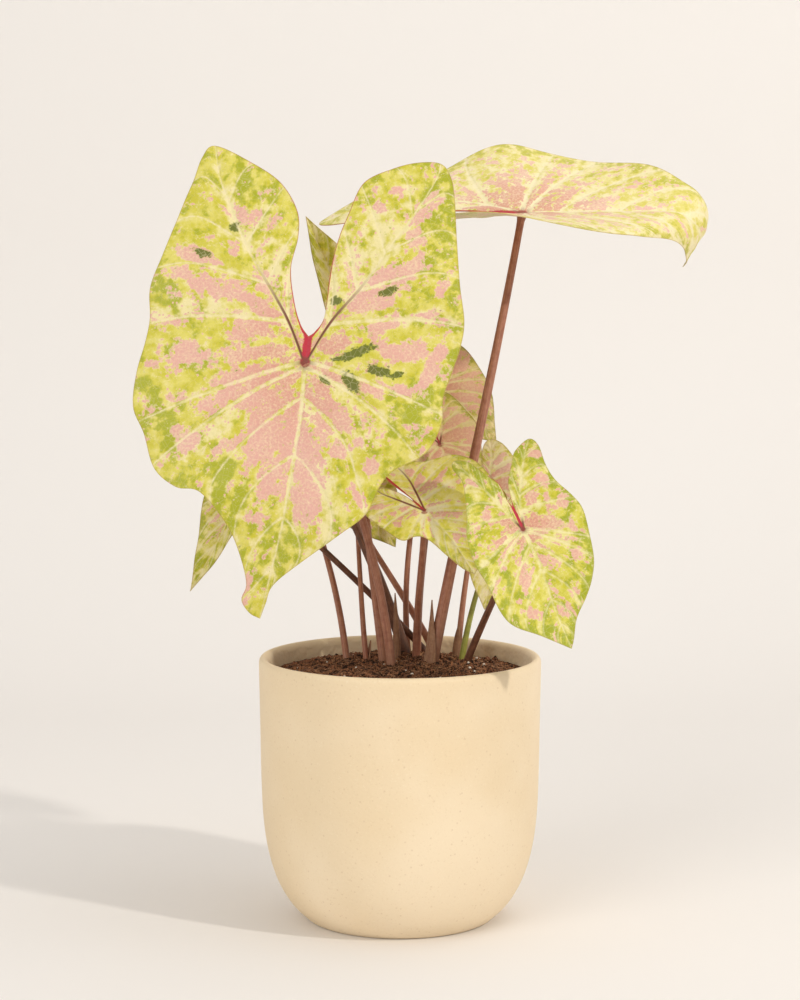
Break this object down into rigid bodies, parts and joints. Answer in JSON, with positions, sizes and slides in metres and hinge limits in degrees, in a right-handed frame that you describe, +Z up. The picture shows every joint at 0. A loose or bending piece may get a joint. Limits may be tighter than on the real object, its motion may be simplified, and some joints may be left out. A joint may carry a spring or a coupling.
{
  "type": "potted caladium",
  "caption": "Caladium with arrow-shaped marbled leaves on slender red-brown stalks, growing from a tuber in potting soil in a round-bottomed matte ceramic pot.",
  "frame": {"origin": "middle of the pot's flat foot, on the surface it stands on", "axes": "+Z up; -Y is the plant's front, which the big leaf's upper face looks towards; +X to the right seen from the front"},
  "size_m": [0.2808, 0.1934, 0.3857],
  "materials": {
    "pot_ceramic": "matte",
    "potting_soil": "matte",
    "tuber_skin": "matte",
    "leaf_lime": "satin",
    "leaf_pale": "satin",
    "leaf_olive": "satin",
    "stalk_red": "satin",
    "stalk_dark": "satin",
    "stalk_green": "satin",
    "sheath_brown": "matte"
  },
  "bodies": {
    "root": {"pot": "pot_ceramic", "soil": "potting_soil", "tuber": "tuber_skin", "young_shoot": "sheath_brown", "sheath_top": "sheath_brown", "sheath_inner": "sheath_brown", "sheath_low": "sheath_brown", "leaf_front_left": "leaf_lime", "leaf_top": "leaf_pale", "leaf_front_right": "leaf_lime", "leaf_middle": "leaf_lime", "leaf_folded": "leaf_olive", "leaf_hanging": "leaf_lime", "leaf_back_high": "leaf_olive", "leaf_back_low": "leaf_olive", "leaf_back_right": "leaf_pale", "leaf_inner": "leaf_lime", "leaf_low_right": "leaf_pale", "leaf_hidden_high": "leaf_lime", "leaf_hidden_left": "leaf_lime", "leaf_hidden_back": "leaf_lime", "stalk_front_left": "stalk_red", "stalk_top": "stalk_red", "stalk_front_right": "stalk_dark", "stalk_middle": "stalk_red", "stalk_folded": "stalk_red", "stalk_hanging": "stalk_dark", "stalk_back_high": "stalk_red", "stalk_back_low": "stalk_red", "stalk_back_right": "stalk_red", "stalk_inner": "stalk_red", "stalk_low_right": "stalk_green", "stalk_hidden_high": "stalk_dark", "stalk_hidden_left": "stalk_red", "stalk_hidden_back": "stalk_red"}
  },
  "joints": []
}
